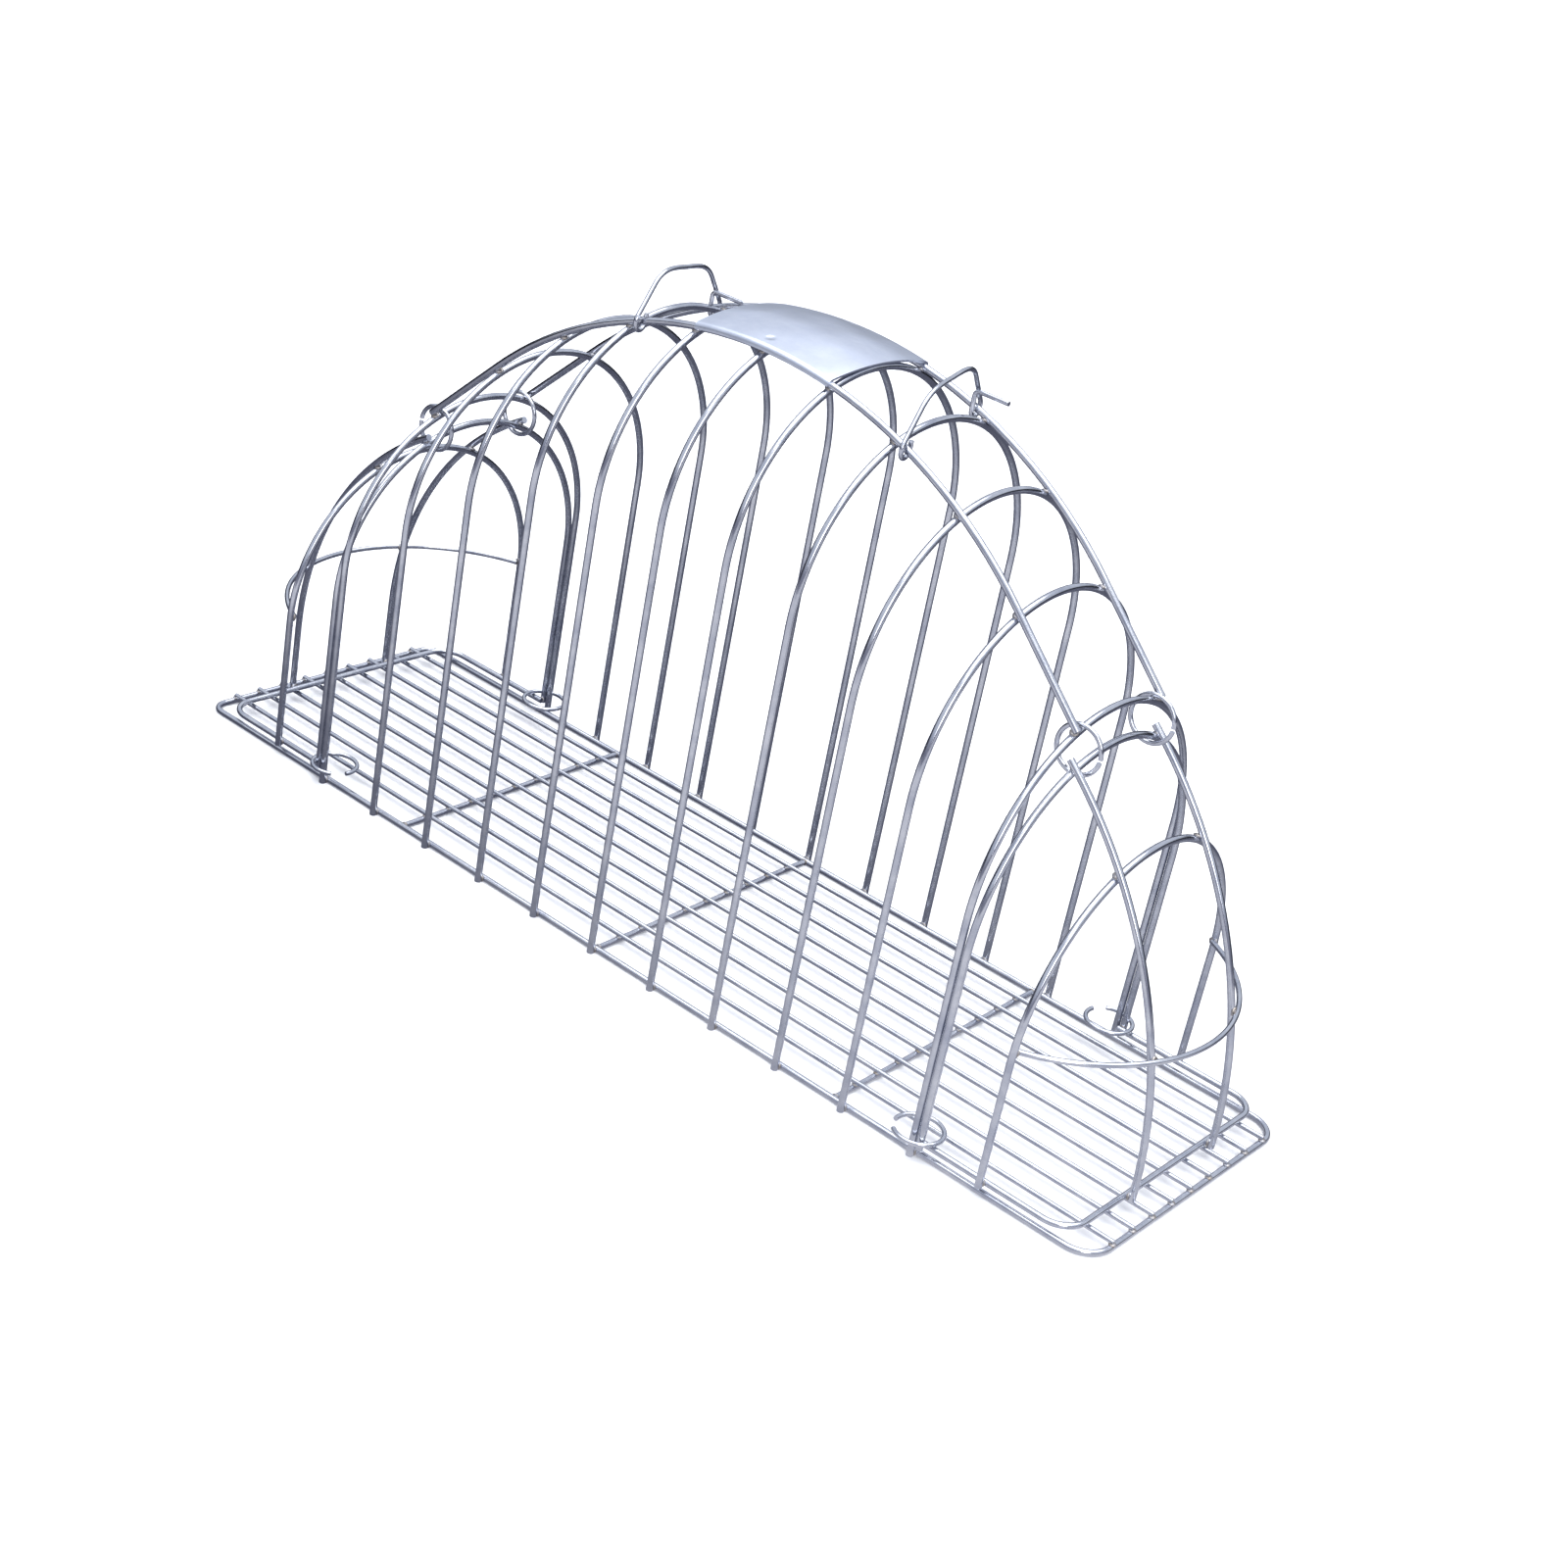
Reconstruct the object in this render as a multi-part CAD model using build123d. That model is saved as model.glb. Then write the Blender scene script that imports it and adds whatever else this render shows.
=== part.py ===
from build123d import *
import math
import os

# Small-animal cage of welded round wire: a half-moon dome on a flat wire floor,
# with a hinged wire door at each end, a sheet handle plate on top and two wire bails.
# Units are millimetres.  +Z is up, +X runs along the cage to the right-hand door,
# -Y is the front long side.  The origin is the middle of the footprint, on the ground.

# ---- wire diameters ----
RING_WIRE = 3.5
FLOOR_WIRE = 2.8
CROSS_WIRE = 3.0
FRAME_WIRE = 4.0
RIM_WIRE = 3.5
BOW_WIRE = 3.0
BAIL_WIRE = 2.6
LINK_WIRE = 2.6

# ---- clearances and welds ----
WELD_BITE = 0.2
LEG_BITE = 0.35
DOOR_GAP = 0.4

# ---- floor ----
FLOOR_LENGTH = 664.0
FLOOR_WIDTH = 180.0
FLOOR_CORNER_RIGHT = 16.0
FLOOR_CORNER_LEFT = 9.0
FLOOR_WIRE_COUNT = 9
FLOOR_WIRE_PITCH = 18.0
FLOOR_WIRE_END = 332.0
CROSS_BAR_X = {"left": -157.0, "middle": 1.0, "right": 171.0}

# ---- dome ----
HOOP_PITCH = 44.7
HOOP_COUNT = 9
HOOP_FOOT_Z = 0.5
HOOP_HALF_WIDTH = (FLOOR_WIDTH + RING_WIRE + FRAME_WIRE) / 2 - LEG_BITE
END_HOOP_X = 224.0
RAIL_RADIUS = 262.5
RAIL_APEX_Z = 337.1
RAIL_Y = 38.1
RAIL_END_X = 226.0
RAIL_CENTRE_Z = RAIL_APEX_Z - RAIL_RADIUS
RAIL_ARC_X = 4 * HOOP_PITCH

# ---- handle plate ----
PLATE_THICKNESS = 1.2
PLATE_LEFT_X = -43.0
PLATE_RIGHT_X = 46.0
PLATE_DOME_RADIUS = 170.0
PLATE_CURL_END_ANGLE = -12.0

# ---- doors ----
DOOR_HOOP_X = 228.5
DOOR_HOOP_CROWN = 210.2
OUTER_HOOP_X = 265.5
RIM_START_X = 227.2
RIM_END_X = 316.5
RIM_CORNER = 15.0
DOOR_ARC_Y = 38.0
DOOR_ARC_START_X = 226.0
DOOR_ARC_RADIUS = {"left": 181.0, "right": 258.0}
DOOR_ARC_TANGENT_Z = {"left": 49.0, "right": 9.4}
BOW_Z = {"left": 90.0, "right": 84.0}

# ---- links ----
HINGE_RING_Y = 33.0
HINGE_TO_END_HOOP = 3.6
HINGE_TO_DOOR_HOOP = 3.85
HINGE_RING_SLIT_ANGLE = 8.0
LATCH_RING_RADIUS = 13.1
LATCH_RING_X = 222.0
LATCH_RING_Y = 87.0
LATCH_GAP_START = 130.0
LATCH_GAP_END = 169.0
LATCH_GAP_Z = 0.3

# ---- bails ----
BAIL_EYE_RADIUS = 5.0
BAIL_OUTER_X = 97.0
BAIL_INNER_X = 82.0
BAIL_TOP_Z = 347.0
BAIL_CUT_END_RISE = 3.0
BAIL_NECK_LENGTH = 20.0
BAIL_LEAN_ANGLE = 40.0
BAIL_TAIL_RISE = 10.0
BAIL_TAIL_BEND = 3.0
BAIL_TAIL_LENGTH = 18.0

# ---- derived heights ----
RING_Z = RING_WIRE / 2
FLOOR_WIRE_Z = RING_WIRE + FLOOR_WIRE / 2 - WELD_BITE
CROSS_BAR_Z = RING_WIRE - CROSS_WIRE / 2
FLOOR_TOP_Z = FLOOR_WIRE_Z + FLOOR_WIRE / 2
RIM_Z = FLOOR_TOP_Z + DOOR_GAP + RIM_WIRE / 2
DOOR_FOOT_Z = FLOOR_TOP_Z + DOOR_GAP
DOOR_ARC_FOOT_X = RIM_END_X + (RIM_WIRE + FRAME_WIRE) / 2 - LEG_BITE
LATCH_RING_Z = RIM_Z + (RIM_WIRE + LINK_WIRE) / 2 + LATCH_GAP_Z


def rod(path, diameter):
    """Round wire of one diameter swept along a path."""
    start = Plane(origin=path @ 0, z_dir=path % 0)
    return sweep(start * Circle(diameter / 2), path=path)


def straight(start, end, diameter):
    return rod(Line(start, end), diameter)


def rail_z(x):
    """Height of a rail's centre line, a circular arc with straight tangent ends."""
    if abs(x) <= RAIL_ARC_X:
        return RAIL_CENTRE_Z + math.sqrt(RAIL_RADIUS**2 - x**2)
    edge_z = math.sqrt(RAIL_RADIUS**2 - RAIL_ARC_X**2)
    return RAIL_CENTRE_Z + edge_z - (abs(x) - RAIL_ARC_X) * RAIL_ARC_X / edge_z


def rail_slope(x):
    reach = min(abs(x), RAIL_ARC_X)
    return math.asin(reach / RAIL_RADIUS)


def crown_under(wire_z, wire_y, slope):
    """Crown of a hoop that carries a sloping wire welded on top of it at wire_y."""
    tilt = math.asin(wire_y / HOOP_HALF_WIDTH)
    normal = math.sqrt((math.sin(slope) * math.cos(tilt)) ** 2 + math.cos(slope) ** 2)
    lift = (FRAME_WIRE - WELD_BITE) * normal / math.cos(slope)
    shoulder = wire_z - math.sqrt((HOOP_HALF_WIDTH + lift) ** 2 - wire_y**2)
    return shoulder + HOOP_HALF_WIDTH


def hoop(x, crown, foot_z):
    """Inverted U in a plane across the cage: two straight legs and a half circle."""
    shoulder = crown - HOOP_HALF_WIDTH
    front = Line((x, -HOOP_HALF_WIDTH, foot_z), (x, -HOOP_HALF_WIDTH, shoulder))
    top = ThreePointArc(
        (x, -HOOP_HALF_WIDTH, shoulder), (x, 0, crown), (x, HOOP_HALF_WIDTH, shoulder)
    )
    rear = Line((x, HOOP_HALF_WIDTH, shoulder), (x, HOOP_HALF_WIDTH, foot_z))
    return rod(Wire([front, top, rear]), FRAME_WIRE)


def floor_ring():
    outline = Rectangle(FLOOR_LENGTH, FLOOR_WIDTH)
    outline = fillet(outline.vertices().group_by(Axis.X)[-1], FLOOR_CORNER_RIGHT)
    outline = fillet(outline.vertices().group_by(Axis.X)[0], FLOOR_CORNER_LEFT)
    return rod(Pos(0, 0, RING_Z) * outline.wire(), RING_WIRE)


def floor_wire(index):
    y = (index - (FLOOR_WIRE_COUNT - 1) / 2) * FLOOR_WIRE_PITCH
    ends = ((-FLOOR_WIRE_END, y, FLOOR_WIRE_Z), (FLOOR_WIRE_END, y, FLOOR_WIRE_Z))
    return straight(ends[0], ends[1], FLOOR_WIRE)


def cross_bar(x):
    """Bar under the floor wires, its ends welded to the ring's long sides."""
    reach = (FLOOR_WIDTH - RING_WIRE) / 2 + LEG_BITE
    return straight((x, -reach, CROSS_BAR_Z), (x, reach, CROSS_BAR_Z), CROSS_WIRE)


def rail(y):
    edge_z = rail_z(RAIL_ARC_X)
    end_z = rail_z(RAIL_END_X)
    left = Line((-RAIL_END_X, y, end_z), (-RAIL_ARC_X, y, edge_z))
    top = ThreePointArc(
        (-RAIL_ARC_X, y, edge_z), (0, y, RAIL_APEX_Z), (RAIL_ARC_X, y, edge_z)
    )
    right = Line((RAIL_ARC_X, y, edge_z), (RAIL_END_X, y, end_z))
    return rod(Wire([left, top, right]), FRAME_WIRE)


def handle_plate():
    """Bent sheet lying on both rails, its long edges curled over their outer sides."""
    curl = (FRAME_WIRE + PLATE_THICKNESS) / 2
    drop = math.sqrt((PLATE_DOME_RADIUS - curl) ** 2 - RAIL_Y**2)
    lean = math.degrees(math.asin(RAIL_Y / (PLATE_DOME_RADIUS - curl)))
    sweep_angle = 90 - lean - PLATE_CURL_END_ANGLE
    right = CenterArc((RAIL_Y, RAIL_APEX_Z), curl, PLATE_CURL_END_ANGLE, sweep_angle)
    top = CenterArc((0, RAIL_APEX_Z - drop), PLATE_DOME_RADIUS, 90 - lean, 2 * lean)
    left = CenterArc((-RAIL_Y, RAIL_APEX_Z), curl, 90 + lean, sweep_angle)
    line = Wire([right, top, left])
    section = Plane.YZ * trace(line, line_width=PLATE_THICKNESS)
    pivot = Axis((0, 0, RAIL_CENTRE_Z), (0, 1, 0))
    left_angle = math.degrees(math.asin(PLATE_LEFT_X / RAIL_RADIUS))
    right_angle = math.degrees(math.asin(PLATE_RIGHT_X / RAIL_RADIUS))
    section = section.rotate(pivot, left_angle)
    return revolve(section, axis=pivot, revolution_arc=right_angle - left_angle)


def door_arc_centre(side):
    return (DOOR_ARC_FOOT_X - DOOR_ARC_RADIUS[side], DOOR_ARC_TANGENT_Z[side])


def door_arc_z(side, x):
    centre_x, centre_z = door_arc_centre(side)
    return centre_z + math.sqrt(DOOR_ARC_RADIUS[side] ** 2 - (x - centre_x) ** 2)


def door_arc_x(side, z):
    centre_x, centre_z = door_arc_centre(side)
    return centre_x + math.sqrt(DOOR_ARC_RADIUS[side] ** 2 - (z - centre_z) ** 2)


def door_arc(side, turn, y):
    """Wire from the door hoop's top, curving down to the outside of the rim's end."""
    start_z = door_arc_z(side, DOOR_ARC_START_X)
    tangent_z = DOOR_ARC_TANGENT_Z[side]
    middle_z = (start_z + tangent_z) / 2
    curve = ThreePointArc(
        (turn * DOOR_ARC_START_X, y, start_z),
        (turn * door_arc_x(side, middle_z), y, middle_z),
        (turn * DOOR_ARC_FOOT_X, y, tangent_z),
    )
    foot = Line(
        (turn * DOOR_ARC_FOOT_X, y, tangent_z), (turn * DOOR_ARC_FOOT_X, y, DOOR_FOOT_Z)
    )
    return rod(Wire([curve, foot]), FRAME_WIRE)


def outer_hoop(side, turn):
    """Second hoop of a door, its crown set by the arcs that lie on it."""
    centre_x = door_arc_centre(side)[0]
    slope = math.asin((OUTER_HOOP_X - centre_x) / DOOR_ARC_RADIUS[side])
    crown = crown_under(door_arc_z(side, OUTER_HOOP_X), DOOR_ARC_Y, slope)
    return hoop(turn * OUTER_HOOP_X, crown, DOOR_FOOT_Z)


def door_rim(turn):
    """Flat U just above the floor, open towards the dome."""
    half = FLOOR_WIDTH / 2
    line = FilletPolyline(
        (turn * RIM_START_X, -half, RIM_Z),
        (turn * RIM_END_X, -half, RIM_Z),
        (turn * RIM_END_X, half, RIM_Z),
        (turn * RIM_START_X, half, RIM_Z),
        radius=RIM_CORNER,
    )
    return rod(line, RIM_WIRE)


def bow_bar(side, turn):
    """Arched bar round the outside of the arcs, ending inside the outer hoop's legs."""
    z = BOW_Z[side]
    half = HOOP_HALF_WIDTH - (FRAME_WIRE + BOW_WIRE) / 2 + LEG_BITE
    at_arc = door_arc_x(side, z) + (FRAME_WIRE + BOW_WIRE) / 2 - WELD_BITE
    line = ThreePointArc(
        (turn * OUTER_HOOP_X, -half, z),
        (turn * at_arc, -DOOR_ARC_Y, z),
        (turn * OUTER_HOOP_X, half, z),
    )
    return rod(line, BOW_WIRE)


def hoop_z_at(crown, y):
    return crown - HOOP_HALF_WIDTH + math.sqrt(HOOP_HALF_WIDTH**2 - y**2)


def hinge_ring(turn, y, end_crown):
    """Split link round the end hoop and the door hoop, the door's hinge."""
    body_z = hoop_z_at(end_crown, y)
    door_z = hoop_z_at(DOOR_HOOP_CROWN, y)
    run = DOOR_HOOP_X - END_HOOP_X
    apart = math.hypot(run, body_z - door_z)
    radius = (apart + HINGE_TO_END_HOOP + HINGE_TO_DOOR_HOOP) / 2
    share = (radius - HINGE_TO_DOOR_HOOP) / apart
    centre = (
        turn * (DOOR_HOOP_X - share * run), y, door_z + share * (body_z - door_z)
    )
    base = Plane(origin=centre, x_dir=(turn, 0, 0), z_dir=(0, -1, 0))
    line = base * CenterArc((0, 0), radius, 0, 360 - HINGE_RING_SLIT_ANGLE)
    return rod(line, LINK_WIRE)


def latch_ring(turn, side_y):
    """Open ring round a body leg and the door leg beside it; the gap clears the body leg."""
    first = LATCH_GAP_END
    size = 360 - (LATCH_GAP_END - LATCH_GAP_START)
    line = CenterArc((0, 0), LATCH_RING_RADIUS, first, size)
    if turn * side_y < 0:
        line = mirror(line, Plane.XZ)
    if turn < 0:
        line = line.rotate(Axis.Z, 180)
    place = Pos(turn * LATCH_RING_X, side_y * LATCH_RING_Y, LATCH_RING_Z)
    return rod(place * line, LINK_WIRE)


def bail(front_x, rear_x):
    """Wire arch between the rails: an eye under each rail and a finger tail at the rear."""
    front = Vector(front_x, -RAIL_Y, 0)
    across = Vector(rear_x - front_x, 2 * RAIL_Y, 0)
    span = across.length
    unit = across.normalized()
    front_z = rail_z(front_x)
    rear_z = rail_z(rear_x)
    near = span - BAIL_EYE_RADIUS

    def at(along, z):
        return front + unit * along + Vector(0, 0, z)

    eye = BAIL_EYE_RADIUS
    lean = math.radians(BAIL_LEAN_ANGLE)
    wrap_in = eye * math.cos(lean)
    wrap_up = eye * math.sin(lean)
    neck_in = wrap_in - BAIL_NECK_LENGTH * math.sin(lean)
    neck_up = wrap_up + BAIL_NECK_LENGTH * math.cos(lean)
    lean_in = unit * math.sin(lean) + Vector(0, 0, math.cos(lean))
    lean_out = unit * math.sin(lean) - Vector(0, 0, math.cos(lean))
    pieces = [
        Line(at(eye, front_z + BAIL_CUT_END_RISE), at(eye, front_z)),
        ThreePointArc(at(eye, front_z), at(0, front_z - eye), at(-wrap_in, front_z + wrap_up)),
        Line(at(-wrap_in, front_z + wrap_up), at(-neck_in, front_z + neck_up)),
        Spline(
            at(-neck_in, front_z + neck_up),
            at(span / 2, BAIL_TOP_Z),
            at(span + neck_in, rear_z + neck_up),
            tangents=[lean_in, lean_out],
        ),
        Line(at(span + neck_in, rear_z + neck_up), at(span + wrap_in, rear_z + wrap_up)),
        ThreePointArc(at(span + wrap_in, rear_z + wrap_up), at(span, rear_z - eye), at(near, rear_z)),
        Line(at(near, rear_z), at(near, rear_z + BAIL_TAIL_RISE - BAIL_TAIL_BEND)),
    ]
    bend = BAIL_TAIL_BEND
    corner = at(near, rear_z + BAIL_TAIL_RISE)
    bend_start = corner - Vector(0, 0, bend)
    bend_end = corner + Vector(bend, 0, 0)
    inset = bend * (1 - math.sqrt(0.5))
    bend_middle = corner + Vector(inset, 0, -inset)
    pieces.append(ThreePointArc(bend_start, bend_middle, bend_end))
    pieces.append(Line(bend_end, bend_end + Vector(BAIL_TAIL_LENGTH, 0, 0)))
    return rod(Wire(pieces), BAIL_WIRE)


def floor_nodes():
    nodes = {"floor_ring": floor_ring()}
    for index in range(FLOOR_WIRE_COUNT):
        nodes[f"floor_wire_{index + 1}"] = floor_wire(index)
    for place, x in CROSS_BAR_X.items():
        nodes[f"floor_cross_bar_{place}"] = cross_bar(x)
    return nodes


def dome_nodes():
    nodes = {}
    for index in range(HOOP_COUNT):
        x = (index - (HOOP_COUNT - 1) / 2) * HOOP_PITCH
        crown = crown_under(rail_z(x), RAIL_Y, rail_slope(x))
        nodes[f"body_hoop_{index + 1}"] = hoop(x, crown, HOOP_FOOT_Z)
    nodes["rail_front"] = rail(-RAIL_Y)
    nodes["rail_rear"] = rail(RAIL_Y)
    nodes["handle_plate"] = handle_plate()
    nodes["bail_left"] = bail(-BAIL_INNER_X, -BAIL_OUTER_X)
    nodes["bail_right"] = bail(BAIL_OUTER_X, BAIL_INNER_X)
    return nodes


def end_nodes(side, turn):
    """End hoop, door and links at one end; turn is +1 at the right and -1 at the left."""
    end_crown = crown_under(rail_z(END_HOOP_X), RAIL_Y, rail_slope(END_HOOP_X))
    nodes = {
        f"end_hoop_{side}": hoop(turn * END_HOOP_X, end_crown, HOOP_FOOT_Z),
        f"{side}_door_hoop": hoop(turn * DOOR_HOOP_X, DOOR_HOOP_CROWN, DOOR_FOOT_Z),
        f"{side}_door_outer_hoop": outer_hoop(side, turn),
        f"{side}_door_rim": door_rim(turn),
        f"{side}_door_bow_bar": bow_bar(side, turn),
    }
    for row, sign in (("front", -1), ("rear", 1)):
        nodes[f"{side}_door_arc_{row}"] = door_arc(side, turn, sign * DOOR_ARC_Y)
        nodes[f"hinge_ring_{side}_{row}"] = hinge_ring(turn, sign * HINGE_RING_Y, end_crown)
        nodes[f"latch_ring_{side}_{row}"] = latch_ring(turn, sign)
    return nodes


os.makedirs("parts", exist_ok=True)
all_nodes = {}
all_nodes.update(floor_nodes())
all_nodes.update(dome_nodes())
all_nodes.update(end_nodes("left", -1))
all_nodes.update(end_nodes("right", 1))
for name, shape in all_nodes.items():
    export_step(shape, f"parts/{name}.step")
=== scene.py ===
import math

import bpy
from bpy.props import FloatProperty, FloatVectorProperty
from mathutils import Matrix, Quaternion, Vector


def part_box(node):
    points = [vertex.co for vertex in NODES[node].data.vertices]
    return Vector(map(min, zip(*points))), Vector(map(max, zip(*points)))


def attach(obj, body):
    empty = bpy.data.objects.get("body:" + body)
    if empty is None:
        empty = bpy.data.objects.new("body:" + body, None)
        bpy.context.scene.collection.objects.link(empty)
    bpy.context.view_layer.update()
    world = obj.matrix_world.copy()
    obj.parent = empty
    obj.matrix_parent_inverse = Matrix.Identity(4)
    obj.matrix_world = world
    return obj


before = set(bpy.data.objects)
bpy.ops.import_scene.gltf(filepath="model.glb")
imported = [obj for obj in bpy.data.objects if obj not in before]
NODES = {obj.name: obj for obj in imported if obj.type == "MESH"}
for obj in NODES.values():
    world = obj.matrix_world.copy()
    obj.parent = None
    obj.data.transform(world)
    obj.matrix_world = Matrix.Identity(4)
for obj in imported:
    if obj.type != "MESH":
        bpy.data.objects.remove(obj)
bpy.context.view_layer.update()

bl_info = {
    "name": "Kennel Cage",
    "version": (1, 0, 0),
    "blender": (4, 5, 0),
    "location": "View3D > Sidebar > Kennel Cage",
    "description": "Steel finishes, weld beads, trimmed wire ends and studio for a wire kennel cage",
    "category": "Object",
}

MM = 0.001
SIDES = (("left", -1), ("right", 1))
ROWS = (("front", -1), ("rear", 1))
HOOPS = [f"body_hoop_{i}" for i in range(1, 10)] + ["end_hoop_left", "end_hoop_right"]
FLOOR_WIRES = [f"floor_wire_{i}" for i in range(1, 10)]
CROSS_BARS = [f"floor_cross_bar_{place}" for place in ("left", "middle", "right")]
ALONG, ACROSS, UPRIGHT = Vector((1, 0, 0)), Vector((0, 1, 0)), Vector((0, 0, 1))
# Size of a weld against a full one: thin floor wires, and legs that stand close to another wire.
FLOOR_WELD = 0.8
INNER_LEG_WELD = 0.75
# Middle stretch of a noise pattern, where nearly all of its values lie.
NOISE_LOW, NOISE_HIGH = 0.3, 0.7
# The studio's front, across the floor, as a direction of length 1.
STUDIO_FRONT = (0.6, -0.8, 0.0)


# ---- settings ----

def linear(hex_colour):
    """sRGB hex to a linear RGBA colour."""
    values = [int(hex_colour[i:i + 2], 16) / 255 for i in (1, 3, 5)]
    rgb = [v / 12.92 if v <= 0.04045 else ((v + 0.055) / 1.055) ** 2.4 for v in values]
    return (*rgb, 1.0)


class WireFinishSettings(bpy.types.PropertyGroup):
    colour: FloatVectorProperty(
        name="Wire colour", description="Colour of the electropolished wire",
        subtype="COLOR", size=4, min=0, max=1, default=linear("#D6D8DE"))
    tint: FloatVectorProperty(
        name="Film colour", description="Colour of the thin grey film in patches",
        subtype="COLOR", size=4, min=0, max=1, default=linear("#B4B8C4"))
    roughness: FloatProperty(
        name="Roughness", description="Roughness of the polished wire", default=0.13, min=0, max=1)
    die_line_spacing: FloatProperty(
        name="Die line spacing", description="Distance between drawing lines, coarse enough to show",
        default=0.35 * MM, unit="LENGTH")
    patch_size: FloatProperty(
        name="Patch size", description="Size of the smoother and duller patches",
        default=14 * MM, unit="LENGTH")


class PlateFinishSettings(bpy.types.PropertyGroup):
    colour: FloatVectorProperty(
        name="Plate colour", description="Colour of the polished sheet",
        subtype="COLOR", size=4, min=0, max=1, default=linear("#DCE2EE"))
    tint: FloatVectorProperty(
        name="Handled colour", description="Colour where hands dull the sheet",
        subtype="COLOR", size=4, min=0, max=1, default=linear("#CCD3E2"))
    roughness: FloatProperty(
        name="Roughness", description="Roughness of the polished sheet", default=0.36, min=0, max=1)
    dent_size: FloatProperty(
        name="Dent size", description="Width of the soft dents", default=38 * MM, unit="LENGTH")
    dimple_radius: FloatProperty(
        name="Dimple radius", description="Radius of a spot weld's dimple", default=4 * MM,
        unit="LENGTH")


class WeldSettings(bpy.types.PropertyGroup):
    colour: FloatVectorProperty(
        name="Weld colour", description="Colour of a cleaned weld",
        subtype="COLOR", size=4, min=0, max=1, default=linear("#B9BAC0"))
    heat_tint: FloatVectorProperty(
        name="Heat tint", description="Colour of the straw tint left by heat",
        subtype="COLOR", size=4, min=0, max=1, default=linear("#A79C8E"))
    length: FloatProperty(
        name="Bead length", description="Half length of a bead", default=2.4 * MM, unit="LENGTH")
    depth: FloatProperty(
        name="Bead depth", description="Half thickness of a bead between two wires",
        default=1.0 * MM, unit="LENGTH")
    waviness: FloatProperty(
        name="Waviness", description="Unevenness of the beads", default=0.22 * MM, unit="LENGTH")


class WireEndSettings(bpy.types.PropertyGroup):
    height: FloatProperty(
        name="End height", description="Height of the trimmed end", default=0.4 * MM, unit="LENGTH")
    chamfer: FloatProperty(
        name="End chamfer", description="Chamfer of the trimmed end", default=0.3 * MM,
        unit="LENGTH")


class StudioSettings(bpy.types.PropertyGroup):
    camera_place: FloatVectorProperty(
        name="Camera place", description="Camera position", subtype="XYZ", unit="LENGTH",
        default=(0.7315, -0.9739, 0.6894))
    camera_aim: FloatVectorProperty(
        name="Camera aim", description="Point the camera looks at", subtype="XYZ", unit="LENGTH",
        default=(0.0407, -0.0034, 0.0986))
    camera_roll: FloatProperty(
        name="Camera roll", description="Turn of the camera about its own line of sight",
        default=math.radians(11.35), unit="ROTATION")
    lens: FloatProperty(
        name="Lens", description="Focal length on a 36 mm sensor, in millimetres", default=56.13)
    floor_colour: FloatVectorProperty(
        name="Floor colour", description="Colour of the floor",
        subtype="COLOR", size=4, min=0, max=1, default=linear("#FAFAFB"))
    floor_size: FloatProperty(
        name="Floor size", description="Side of the floor", default=14.0, unit="LENGTH")
    cloth_colour: FloatVectorProperty(
        name="Cloth colour", description="Colour of the black cloth round the horizon",
        subtype="COLOR", size=4, min=0, max=1, default=linear("#0B0C10"))
    # Painted reflection colour: only glossy rays see the floor glow this dark grey behind the cage.
    back_card_colour: FloatVectorProperty(
        name="Back card colour", description="Colour of the grey card behind",
        subtype="COLOR", size=4, min=0, max=1, default=linear("#686A79"))
    horizon_colour: FloatVectorProperty(
        name="Horizon colour", description="Colour of the wall behind the viewer",
        subtype="COLOR", size=4, min=0, max=1, default=linear("#85879A"))
    # Painted reflection colour: only glossy rays see the floor glow this white in front of the cage.
    card_colour: FloatVectorProperty(
        name="Card colour", description="Colour of the white card in front",
        subtype="COLOR", size=4, min=0, max=1, default=linear("#E9EAF3"))
    sky_colour: FloatVectorProperty(
        name="Tent colour", description="Colour of the tent overhead",
        subtype="COLOR", size=4, min=0, max=1, default=linear("#DDE3F0"))
    key_strength: FloatProperty(
        name="Key strength", description="Strength of the broad overhead light", default=2.9)
    key_spread: FloatProperty(
        name="Key spread", description="Width of the overhead light as seen from the cage",
        default=math.radians(75), unit="ROTATION")
    fill_power: FloatProperty(
        name="Fill power", description="Power of the side light in watts", default=14.0)
    fill_place: FloatVectorProperty(
        name="Fill place", description="Position of the side light", subtype="XYZ",
        unit="LENGTH", default=(1.9, -1.3, 1.3))
    fill_aim: FloatVectorProperty(
        name="Fill aim", description="Point the side light shines at", subtype="XYZ",
        unit="LENGTH", default=(0.0, 0.0, 0.15))
    fill_size: FloatVectorProperty(
        name="Fill size", description="Width and height of the side light", size=2,
        unit="LENGTH", default=(0.9, 1.4))
    tent_foot: FloatProperty(
        name="Tent foot", description="Sine of the angle above the floor where the tent begins",
        default=0.12)
    tent_shoulder: FloatProperty(
        name="Tent shoulder", description="Sine of the angle where the tent is at full brightness",
        default=0.34)


# ---- small tools ----

def add_node(tree, kind, inputs=None, **settings):
    """Adds a node, sets its properties, and fills or links its inputs."""
    item = tree.nodes.new(kind)
    for key, value in settings.items():
        setattr(item, key, value)
    for key, value in (inputs or {}).items():
        if isinstance(value, bpy.types.NodeSocket):
            tree.links.new(value, item.inputs[key])
        else:
            item.inputs[key].default_value = value
    return item


def new_material(name):
    """Empty node material with its output; returns it, its tree and its output node."""
    material = bpy.data.materials.new(name)
    material.use_nodes = True
    material.node_tree.nodes.clear()
    output = add_node(material.node_tree, "ShaderNodeOutputMaterial")
    return material, material.node_tree, output


def paint(node_name, material):
    """Puts a material into every slot of a CAD node."""
    data = NODES[node_name].data
    for index in range(len(data.materials)):
        data.materials[index] = material


def deselect_all():
    if bpy.context.object and bpy.context.object.mode != "OBJECT":
        bpy.ops.object.mode_set(mode="OBJECT")
    bpy.ops.object.select_all(action="DESELECT")


def centre_of(node_name):
    low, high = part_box(node_name)
    return (low + high) / 2


# ---- materials ----

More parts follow.
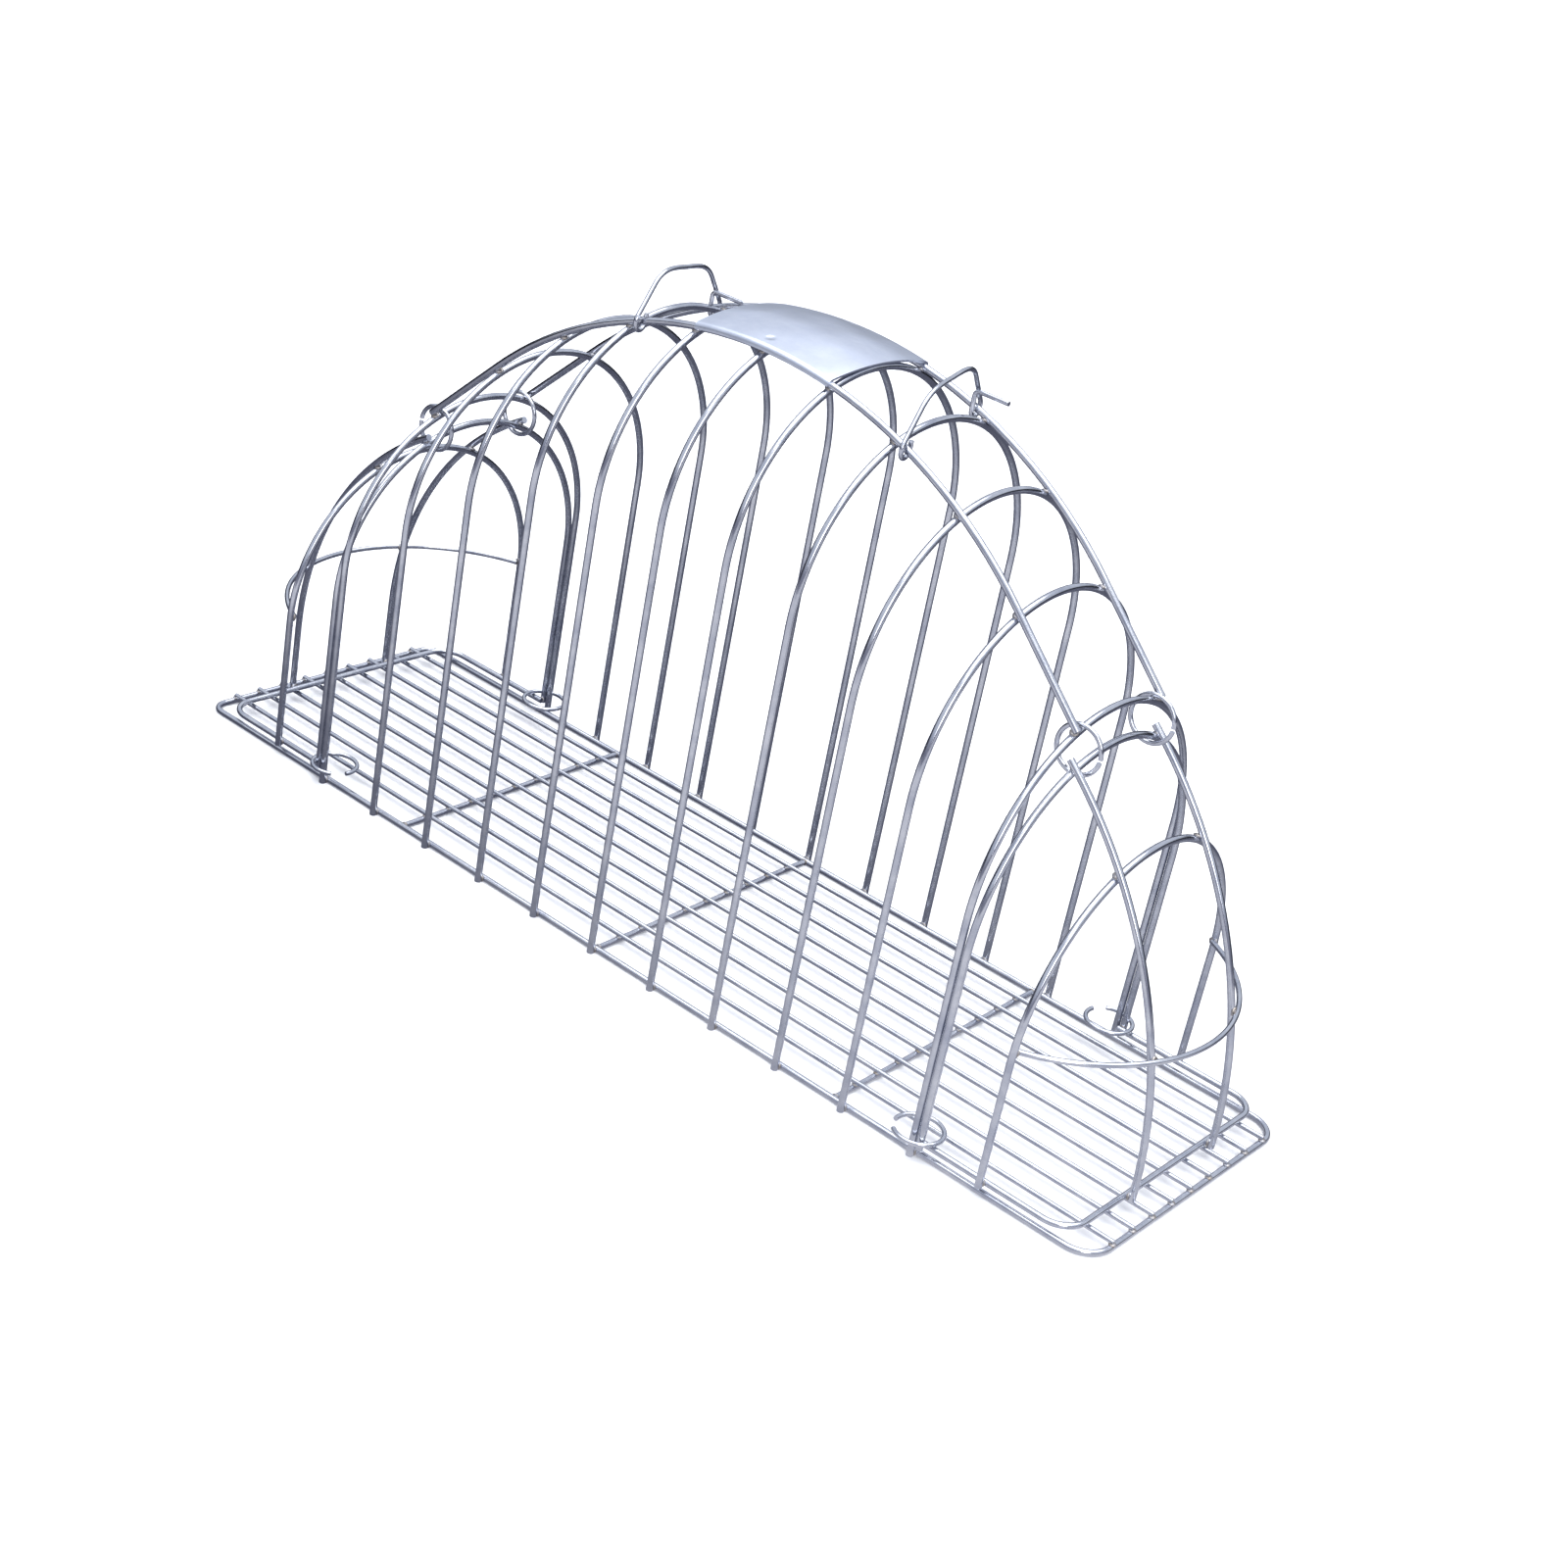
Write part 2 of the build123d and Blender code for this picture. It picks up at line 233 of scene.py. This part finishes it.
def drawn_wire(name, settings, line_axis):
    """304 stainless wire, drawn and electropolished: mirror bright, with faint drawing lines
    along its run and slightly duller patches, so highlights break up a little.  The lines are
    drawn coarser than real ones, which would be too fine to show."""
    line_length = 0.5
    dullest, brightest = 1.9, 0.6
    material, tree, output = new_material(name)
    place = add_node(tree, "ShaderNodeTexCoord").outputs["Object"]
    stretch = [1 / line_length] * 3
    stretch[line_axis] = 1 / settings.die_line_spacing
    lines_at = add_node(tree, "ShaderNodeMapping", {"Vector": place, "Scale": stretch})
    lines = add_node(
        tree, "ShaderNodeTexNoise",
        {"Vector": lines_at.outputs["Vector"], "Scale": 1.0, "Detail": 3.0, "Roughness": 0.6})
    patches = add_node(
        tree, "ShaderNodeTexNoise",
        {"Vector": place, "Scale": 1 / settings.patch_size, "Detail": 4.0, "Roughness": 0.55})
    share = add_node(
        tree, "ShaderNodeMapRange",
        {"Value": patches.outputs["Fac"], "From Min": NOISE_LOW, "From Max": NOISE_HIGH})
    colour = add_node(
        tree, "ShaderNodeMixRGB",
        {"Fac": share.outputs["Result"], "Color1": settings.tint, "Color2": settings.colour})
    rough = add_node(
        tree, "ShaderNodeMapRange",
        {"Value": patches.outputs["Fac"], "To Min": settings.roughness * dullest,
         "To Max": settings.roughness * brightest})
    bump = add_node(
        tree, "ShaderNodeBump",
        {"Height": lines.outputs["Fac"], "Strength": 0.25, "Distance": 0.05 * MM})
    shader = add_node(
        tree, "ShaderNodeBsdfPrincipled",
        {"Base Color": colour.outputs["Color"], "Metallic": 1.0,
         "Roughness": rough.outputs["Result"], "Normal": bump.outputs["Normal"]})
    tree.links.new(shader.outputs["BSDF"], output.inputs["Surface"])
    return material


def polished_sheet(settings, dimple_places):
    """Polished 304 stainless sheet, bent cold: soft shallow dents, a round dimple at each spot
    weld, fine wiping scratches and a dulled grip area."""
    scratch_length, scratch_spacing = 25 * MM, 0.4 * MM
    wear_size = 9 * MM
    dullest, brightest = 1.25, 0.85
    dent_depth, dimple_depth, scratch_depth = 2.2 * MM, 0.5 * MM, 0.03 * MM
    material, tree, output = new_material("polished_304_stainless_sheet")
    place = add_node(tree, "ShaderNodeTexCoord").outputs["Object"]
    dents = add_node(
        tree, "ShaderNodeTexNoise",
        {"Vector": place, "Scale": 1 / settings.dent_size, "Detail": 1.0, "Roughness": 0.4})
    scratches_at = add_node(
        tree, "ShaderNodeMapping",
        {"Vector": place, "Scale": (1 / scratch_length, 1 / scratch_spacing, 1 / scratch_length)})
    scratches = add_node(
        tree, "ShaderNodeTexNoise",
        {"Vector": scratches_at.outputs["Vector"], "Scale": 1.0, "Detail": 3.0})
    wear = add_node(
        tree, "ShaderNodeTexNoise",
        {"Vector": place, "Scale": 1 / wear_size, "Detail": 5.0, "Roughness": 0.6})
    depth = None
    for spot in dimple_places:
        away = add_node(
            tree, "ShaderNodeVectorMath", {0: place, 1: spot}, operation="DISTANCE")
        bowl = add_node(
            tree, "ShaderNodeMapRange",
            {"Value": away.outputs["Value"], "From Min": 0.0,
             "From Max": settings.dimple_radius, "To Min": 0.0, "To Max": 1.0},
            interpolation_type="SMOOTHERSTEP")
        if depth is None:
            depth = bowl.outputs["Result"]
        else:
            depth = add_node(
                tree, "ShaderNodeMath", {0: depth, 1: bowl.outputs["Result"]},
                operation="MINIMUM").outputs["Value"]
    share = add_node(
        tree, "ShaderNodeMapRange",
        {"Value": wear.outputs["Fac"], "From Min": NOISE_LOW, "From Max": NOISE_HIGH})
    colour = add_node(
        tree, "ShaderNodeMixRGB",
        {"Fac": share.outputs["Result"], "Color1": settings.tint, "Color2": settings.colour})
    rough = add_node(
        tree, "ShaderNodeMapRange",
        {"Value": wear.outputs["Fac"], "To Min": settings.roughness * dullest,
         "To Max": settings.roughness * brightest})
    soft = add_node(
        tree, "ShaderNodeBump",
        {"Height": dents.outputs["Fac"], "Strength": 1.0, "Distance": dent_depth})
    dimpled = add_node(
        tree, "ShaderNodeBump",
        {"Height": depth, "Strength": 1.0, "Distance": dimple_depth,
         "Normal": soft.outputs["Normal"]})
    fine = add_node(
        tree, "ShaderNodeBump",
        {"Height": scratches.outputs["Fac"], "Strength": 0.2, "Distance": scratch_depth,
         "Normal": dimpled.outputs["Normal"]})
    shader = add_node(
        tree, "ShaderNodeBsdfPrincipled",
        {"Base Color": colour.outputs["Color"], "Metallic": 1.0,
         "Roughness": rough.outputs["Result"], "Normal": fine.outputs["Normal"]})
    tree.links.new(shader.outputs["BSDF"], output.inputs["Surface"])
    return material


def welded_steel(settings):
    """Resistance weld in 304 stainless, pickled clean: satin grey with a little straw heat tint
    and a rippled surface."""
    tint_size, ripple_size, ripple_depth = 3 * MM, 0.6 * MM, 0.2 * MM
    material, tree, output = new_material("pickled_resistance_weld")
    place = add_node(tree, "ShaderNodeTexCoord").outputs["Object"]
    heat = add_node(
        tree, "ShaderNodeTexNoise", {"Vector": place, "Scale": 1 / tint_size, "Detail": 3.0})
    ripple = add_node(
        tree, "ShaderNodeTexNoise", {"Vector": place, "Scale": 1 / ripple_size, "Detail": 2.0})
    share = add_node(
        tree, "ShaderNodeMapRange",
        {"Value": heat.outputs["Fac"], "From Min": NOISE_LOW, "From Max": NOISE_HIGH})
    colour = add_node(
        tree, "ShaderNodeMixRGB",
        {"Fac": share.outputs["Result"], "Color1": settings.heat_tint, "Color2": settings.colour})
    bump = add_node(
        tree, "ShaderNodeBump",
        {"Height": ripple.outputs["Fac"], "Strength": 0.5, "Distance": ripple_depth})
    rough = add_node(
        tree, "ShaderNodeMapRange",
        {"Value": heat.outputs["Fac"], "To Min": 0.5, "To Max": 0.26})
    shader = add_node(
        tree, "ShaderNodeBsdfPrincipled",
        {"Base Color": colour.outputs["Color"], "Metallic": 1.0,
         "Roughness": rough.outputs["Result"], "Normal": bump.outputs["Normal"]})
    tree.links.new(shader.outputs["BSDF"], output.inputs["Surface"])
    return material


def facing_front(tree, place, start, end):
    """0 behind the cage and 1 in front of it, measured across the studio."""
    across = add_node(
        tree, "ShaderNodeVectorMath", {0: place, 1: STUDIO_FRONT}, operation="DOT_PRODUCT")
    item = add_node(
        tree, "ShaderNodeMapRange",
        {"Value": across.outputs["Value"], "From Min": start, "From Max": end},
        interpolation_type="SMOOTHSTEP")
    return item.outputs["Result"]


def studio_floor(settings):
    """Matt white laminated board with a barely visible tooth.  Glossy rays alone see the floor glow
    grey behind the cage and white in front: a painted reflection that shades the sides of polished
    wire."""
    tooth_size, tooth_depth = 3.333 * MM, 0.1 * MM
    card_start, card_end = -0.1, 0.34
    material, tree, output = new_material("matt_white_laminate_with_painted_reflection")
    place = add_node(tree, "ShaderNodeTexCoord").outputs["Object"]
    tooth = add_node(
        tree, "ShaderNodeTexNoise", {"Vector": place, "Scale": 1 / tooth_size, "Detail": 2.0})
    bump = add_node(
        tree, "ShaderNodeBump",
        {"Height": tooth.outputs["Fac"], "Strength": 0.05, "Distance": tooth_depth})
    white = add_node(
        tree, "ShaderNodeBsdfPrincipled",
        {"Base Color": settings.floor_colour, "Roughness": 0.85,
         "Specular IOR Level": 0.1, "Normal": bump.outputs["Normal"]})
    # Painted reflection: mask for the grey-behind, white-in-front glow that only glossy rays see.
    front = facing_front(tree, place, card_start, card_end)
    cards = add_node(
        tree, "ShaderNodeMixRGB",
        {"Fac": front, "Color1": settings.back_card_colour, "Color2": settings.card_colour})
    reflected = add_node(
        tree, "ShaderNodeEmission", {"Color": cards.outputs["Color"], "Strength": 1.0})
    # Glossy rays get the painted reflection emission instead of the lit white floor.
    rays = add_node(tree, "ShaderNodeLightPath")
    choice = add_node(
        tree, "ShaderNodeMixShader",
        {"Fac": rays.outputs["Is Glossy Ray"], 1: white.outputs["BSDF"],
         2: reflected.outputs["Emission"]})
    tree.links.new(choice.outputs["Shader"], output.inputs["Surface"])
    return material


# ---- places worked out from the frame ----
# A weld is its place, the direction in which its two wires press together, and its size.

def hoop_weld(hoop, wire_y, size=1.0):
    """Weld on a hoop's outer surface, under a wire that runs over it at wire_y."""
    low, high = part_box(hoop)
    radius = (high.x - low.x) / 2
    reach = (high.y - low.y) / 2
    shoulder = high.z - reach
    centre_reach = reach + radius
    height = math.sqrt(centre_reach**2 - wire_y**2)
    outward = Vector((0, wire_y, height)) / centre_reach
    place = Vector((centre_of(hoop).x, 0, shoulder)) + outward * reach
    return place, outward, size


def leg_welds(hoop, level_node, size=1.0):
    """Welds where a hoop's two legs meet the side bars of a flat frame."""
    low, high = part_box(level_node)
    x = centre_of(hoop).x
    z = centre_of(level_node).z
    return [(Vector((x, y, z)), ACROSS, size) for y in (low.y, high.y)]


def cage_welds():
    welds = []
    ring_low, ring_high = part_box("floor_ring")
    ring_wire = ring_high.z - ring_low.z
    for hoop in HOOPS:
        welds += leg_welds(hoop, "floor_ring")
        welds += [hoop_weld(hoop, centre_of(f"rail_{row}").y) for row, _ in ROWS]
    ring_ends = (ring_low.x + ring_wire / 2, ring_high.x - ring_wire / 2)
    for wire in FLOOR_WIRES:
        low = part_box(wire)[0]
        stops = (*ring_ends, *(centre_of(bar).x for bar in CROSS_BARS))
        welds += [(Vector((x, centre_of(wire).y, low.z)), UPRIGHT, FLOOR_WELD) for x in stops]
    for bar in CROSS_BARS:
        middle = centre_of(bar)
        welds += [(Vector((middle.x, y, middle.z)), ACROSS, FLOOR_WELD)
                  for y in (ring_low.y + ring_wire, ring_high.y - ring_wire)]
    return welds


def door_welds(side, turn):
    rim, bow = f"{side}_door_rim", f"{side}_door_bow_bar"
    inner, outer = f"{side}_door_hoop", f"{side}_door_outer_hoop"
    rim_low, rim_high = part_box(rim)
    bow_low, bow_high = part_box(bow)
    bow_wire = bow_high.z - bow_low.z
    half = (bow_high.y - bow_low.y - bow_wire) / 2
    rise = bow_high.x - bow_low.x - bow_wire / 2
    radius = (half**2 + rise**2) / (2 * rise)
    tip = bow_high.x if turn > 0 else bow_low.x
    middle = tip - turn * (radius + bow_wire / 2)
    rim_end = rim_high.x if turn > 0 else rim_low.x
    welds = leg_welds(inner, rim, INNER_LEG_WELD) + leg_welds(outer, rim)
    for row, sign in ROWS:
        y = centre_of(f"{side}_door_arc_{row}").y
        on_bow = middle + turn * math.sqrt((radius - bow_wire / 2) ** 2 - y**2)
        welds += [
            hoop_weld(inner, y, INNER_LEG_WELD),
            hoop_weld(outer, y),
            (Vector((rim_end, y, centre_of(rim).z)), ALONG, 1.0),
            (Vector((on_bow, y, centre_of(bow).z)), ALONG, 1.0),
            (Vector((centre_of(outer).x, sign * (half + bow_wire / 2), centre_of(bow).z)),
             ACROSS, 1.0),
        ]
    return welds


# ---- pieces ----

def weld_bead(settings):
    """One flash pressed out of a weld: a flat lens with a raised, wrinkled rim."""
    rim_share, rim_spread, rim_lift = 0.35, 1.08, 1.5
    deselect_all()
    bpy.ops.mesh.primitive_uv_sphere_add(
        segments=18, ring_count=10, radius=settings.length, enter_editmode=True)
    bpy.ops.transform.resize(value=(1, 1, settings.depth / settings.length))
    bpy.ops.mesh.select_all(action="DESELECT")
    bead = bpy.context.object
    bpy.ops.object.mode_set(mode="OBJECT")
    for vertex in bead.data.vertices:
        vertex.select = abs(vertex.co.z) < settings.depth * rim_share
    bpy.ops.object.mode_set(mode="EDIT")
    bpy.ops.transform.resize(value=(rim_spread, rim_spread, rim_lift))
    bpy.ops.transform.vertex_random(offset=settings.waviness, uniform=0.5, normal=0.5, seed=7)
    bpy.ops.mesh.select_all(action="SELECT")
    bpy.ops.mesh.vertices_smooth(factor=0.4, repeat=1)
    bpy.ops.mesh.normals_make_consistent(inside=False)
    bpy.ops.object.mode_set(mode="OBJECT")
    bpy.ops.object.shade_smooth()
    return bead


def bead_piece(name, welds, settings):
    """One mesh with a copy of the bead at every weld, pressed flat between its two wires."""
    pattern = weld_bead(settings)
    copies = []
    for place, pressed, size in welds:
        deselect_all()
        pattern.select_set(True)
        bpy.context.view_layer.objects.active = pattern
        bpy.ops.object.duplicate(linked=False)
        copy = bpy.context.object
        turn = UPRIGHT.rotation_difference(pressed)
        copy.matrix_world = Matrix.LocRotScale(place, turn, Vector((size, size, size)))
        copies.append(copy)
    deselect_all()
    bpy.data.objects.remove(pattern)
    for copy in copies:
        copy.select_set(True)
    bpy.context.view_layer.objects.active = copies[0]
    bpy.ops.object.transform_apply(location=True, rotation=True, scale=True)
    bpy.ops.object.join()
    piece = bpy.context.object
    piece.name = name
    return piece


def trimmed_ends(name, ends, settings):
    """Short chamfered stubs where wires were cut; ends lists (centre, radius, outward axis)."""
    sides, fit, hollow = 28, 0.995, 0.35
    chamfer_lift, hollow_drop = settings.chamfer * 0.4, settings.chamfer * 0.2
    deselect_all()
    piece = None
    for centre, radius, outward in ends:
        turn = UPRIGHT.rotation_difference(outward).to_euler()
        bpy.ops.mesh.primitive_cylinder_add(
            vertices=sides, radius=radius * fit, depth=settings.height,
            location=centre + outward * settings.height / 2, rotation=turn)
        stub = bpy.context.object
        bpy.ops.object.transform_apply(location=True, rotation=True, scale=True)
        for polygon in stub.data.polygons:
            polygon.select = polygon.normal.dot(outward) > 0.9
        for edge in stub.data.edges:
            edge.select = False
        for vertex in stub.data.vertices:
            vertex.select = False
        bpy.ops.object.mode_set(mode="EDIT")
        bpy.ops.mesh.select_mode(type="FACE")
        bpy.ops.mesh.inset(thickness=settings.chamfer)
        bpy.ops.transform.translate(value=outward * chamfer_lift)
        bpy.ops.mesh.inset(thickness=radius * hollow)
        bpy.ops.transform.translate(value=-outward * hollow_drop)
        bpy.ops.object.mode_set(mode="OBJECT")
        bpy.ops.object.select_all(action="DESELECT")
        if piece is None:
            piece = stub
            piece.name = name
        else:
            stub.select_set(True)
            piece.select_set(True)
            bpy.context.view_layer.objects.active = piece
            bpy.ops.object.join()
            bpy.ops.object.select_all(action="DESELECT")
    piece.select_set(True)
    bpy.context.view_layer.objects.active = piece
    bpy.ops.object.shade_smooth_by_angle(angle=math.radians(35))
    return piece


def leg_ends(hoops):
    ends = []
    for hoop in hoops:
        low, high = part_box(hoop)
        radius = (high.x - low.x) / 2
        for y in (low.y + radius, high.y - radius):
            ends.append((Vector(((low.x + high.x) / 2, y, low.z)), radius, -UPRIGHT))
    return ends


def floor_wire_ends():
    ends = []
    for wire in FLOOR_WIRES:
        low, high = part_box(wire)
        middle = (low + high) / 2
        radius = (high.y - low.y) / 2
        ends.append((Vector((low.x, middle.y, middle.z)), radius, -ALONG))
        ends.append((Vector((high.x, middle.y, middle.z)), radius, ALONG))
    return ends


def arc_feet(side, turn):
    ends = []
    for row, _ in ROWS:
        low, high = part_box(f"{side}_door_arc_{row}")
        radius = (high.y - low.y) / 2
        x = high.x - radius if turn > 0 else low.x + radius
        ends.append((Vector((x, (low.y + high.y) / 2, low.z)), radius, -UPRIGHT))
    return ends


# ---- operators ----

class KENNEL_OT_wire_finish(bpy.types.Operator):
    """Gives every wire of the cage its drawn and polished steel"""
    bl_idname = "kennel.wire_finish"
    bl_label = "Wire finish"

    def execute(self, context):
        settings = context.scene.kennel_wire
        wires = [drawn_wire(f"electropolished_304_wire_{letter}", settings, axis)
                 for axis, letter in enumerate("xyz")]
        for name in NODES:
            if name == "handle_plate":
                continue
            low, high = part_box(name)
            size = high - low
            flat_axis = min(range(3), key=lambda axis: size[axis])
            paint(name, wires[flat_axis])
            NODES[name].data.polygons.foreach_set(
                "use_smooth", [True] * len(NODES[name].data.polygons))
        return {"FINISHED"}


class KENNEL_OT_plate_finish(bpy.types.Operator):
    """Gives the handle plate its polished sheet steel"""
    bl_idname = "kennel.plate_finish"
    bl_label = "Plate finish"

    def execute(self, context):
        edge_reach, inset, crown_drop = 2 * MM, 5 * MM, 3.5 * MM
        low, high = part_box("handle_plate")
        spots = []
        for hoop in HOOPS:
            x = centre_of(hoop).x
            if low.x < x + edge_reach and x - edge_reach < high.x:
                for row, sign in ROWS:
                    y = sign * (abs(centre_of(f"rail_{row}").y) - inset)
                    spots.append((x, y, high.z - crown_drop))
        paint("handle_plate", polished_sheet(context.scene.kennel_plate, spots))
        return {"FINISHED"}


class KENNEL_OT_weld_beads(bpy.types.Operator):
    """Adds the flash of every resistance weld on the cage and its doors"""
    bl_idname = "kennel.weld_beads"
    bl_label = "Weld beads"

    def execute(self, context):
        settings = context.scene.kennel_weld
        steel = welded_steel(settings)
        groups = [("cage_weld_beads", cage_welds(), "cage")]
        for side, turn in SIDES:
            groups.append((f"{side}_door_weld_beads", door_welds(side, turn), f"{side}_door"))
        for name, welds, body in groups:
            piece = bead_piece(name, welds, settings)
            piece.data.materials.append(steel)
            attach(piece, body)
        return {"FINISHED"}


class KENNEL_OT_wire_ends(bpy.types.Operator):
    """Adds the chamfered ends of the cut wires"""
    bl_idname = "kennel.wire_ends"
    bl_label = "Wire ends"

    def execute(self, context):
        settings = context.scene.kennel_ends
        steel = bpy.data.materials["electropolished_304_wire_x"]
        groups = [("cage_wire_ends", leg_ends(HOOPS) + floor_wire_ends(), "cage")]
        for side, turn in SIDES:
            hoops = (f"{side}_door_hoop", f"{side}_door_outer_hoop")
            groups.append(
                (f"{side}_door_wire_ends", leg_ends(hoops) + arc_feet(side, turn), f"{side}_door"))
        for name, ends, body in groups:
            piece = trimmed_ends(name, ends, settings)
            piece.data.materials.append(steel)
            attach(piece, body)
        return {"FINISHED"}


class KENNEL_OT_studio(bpy.types.Operator):
    """Adds the floor, the lights, the surroundings and the camera"""
    bl_idname = "kennel.studio"
    bl_label = "Studio"

    def execute(self, context):
        settings = context.scene.kennel_studio
        deselect_all()
        bpy.ops.mesh.primitive_plane_add(size=settings.floor_size)
        floor = context.object
        floor.name = "studio_floor"
        floor.data.materials.append(studio_floor(settings))
        bpy.ops.object.light_add(type="SUN")
        key = context.object
        key.name = "key_light"
        key.data.energy = settings.key_strength
        key.data.angle = settings.key_spread
        self.fill_light(context, settings)
        self.surroundings(context, settings)
        self.camera(context, settings)
        return {"FINISHED"}

    def fill_light(self, context, settings):
        deselect_all()
        bpy.ops.object.light_add(type="AREA", location=settings.fill_place)
        lamp = context.object
        lamp.name = "fill_light"
        lamp.data.shape = "RECTANGLE"
        lamp.data.size, lamp.data.size_y = settings.fill_size
        lamp.data.energy = settings.fill_power
        sight = Vector(settings.fill_aim) - Vector(settings.fill_place)
        lamp.rotation_euler = sight.to_track_quat("-Z", "Y").to_euler()

    def surroundings(self, context, settings):
        wall_start, wall_end = 0.0, 0.7
        world = bpy.data.worlds.new("studio_tent")
        context.scene.world = world
        world.use_nodes = True
        tree = world.node_tree
        tree.nodes.clear()
        direction = add_node(tree, "ShaderNodeTexCoord").outputs["Generated"]
        height = add_node(tree, "ShaderNodeSeparateXYZ", {"Vector": direction}).outputs["Z"]
        front = facing_front(tree, direction, wall_start, wall_end)
        low = add_node(
            tree, "ShaderNodeMixRGB",
            {"Fac": front, "Color1": settings.cloth_colour, "Color2": settings.horizon_colour})
        rise = add_node(
            tree, "ShaderNodeMapRange",
            {"Value": height, "From Min": settings.tent_foot, "From Max": settings.tent_shoulder},
            interpolation_type="SMOOTHSTEP")
        tent = add_node(
            tree, "ShaderNodeMixRGB",
            {"Fac": rise.outputs["Result"], "Color1": low.outputs["Color"],
             "Color2": settings.sky_colour})
        light = add_node(
            tree, "ShaderNodeBackground", {"Color": tent.outputs["Color"], "Strength": 1.0})
        out = add_node(tree, "ShaderNodeOutputWorld")
        tree.links.new(light.outputs["Background"], out.inputs["Surface"])

    def camera(self, context, settings):
        deselect_all()
        bpy.ops.object.camera_add(location=settings.camera_place)
        camera = context.object
        camera.name = "studio_camera"
        sight = Vector(settings.camera_aim) - Vector(settings.camera_place)
        turn = sight.to_track_quat("-Z", "Y") @ Quaternion((0, 0, 1), settings.camera_roll)
        camera.rotation_mode = "QUATERNION"
        camera.rotation_quaternion = turn
        camera.data.sensor_width = 36.0
        camera.data.lens = settings.lens
        camera.data.dof.use_dof = False
        context.scene.camera = camera
        context.scene.view_settings.view_transform = "Standard"


class KENNEL_PT_panel(bpy.types.Panel):
    """Lists the steps that dress the cage"""
    bl_idname = "KENNEL_PT_panel"
    bl_label = "Kennel Cage"
    bl_space_type = "VIEW_3D"
    bl_region_type = "UI"
    bl_category = "Kennel Cage"

    def draw(self, context):
        for operator in OPERATORS:
            self.layout.operator(operator.bl_idname)
        for group in SETTINGS:
            settings = getattr(context.scene, group)
            for key in settings.bl_rna.properties.keys():
                if key not in ("rna_type", "name"):
                    self.layout.prop(settings, key)


SETTINGS = {
    "kennel_wire": WireFinishSettings,
    "kennel_plate": PlateFinishSettings,
    "kennel_weld": WeldSettings,
    "kennel_ends": WireEndSettings,
    "kennel_studio": StudioSettings,
}
OPERATORS = (
    KENNEL_OT_wire_finish, KENNEL_OT_plate_finish, KENNEL_OT_weld_beads,
    KENNEL_OT_wire_ends, KENNEL_OT_studio,
)


def register():
    for kind in (*SETTINGS.values(), *OPERATORS, KENNEL_PT_panel):
        bpy.utils.register_class(kind)
    for name, kind in SETTINGS.items():
        setattr(bpy.types.Scene, name, bpy.props.PointerProperty(type=kind))


def unregister():
    for name in SETTINGS:
        delattr(bpy.types.Scene, name)
    for kind in (*SETTINGS.values(), *OPERATORS, KENNEL_PT_panel):
        bpy.utils.unregister_class(kind)


def main():
    register()
    bpy.ops.kennel.wire_finish()
    bpy.ops.kennel.plate_finish()
    bpy.ops.kennel.weld_beads()
    bpy.ops.kennel.wire_ends()
    bpy.ops.kennel.studio()


if __name__ == "__main__":
    main()
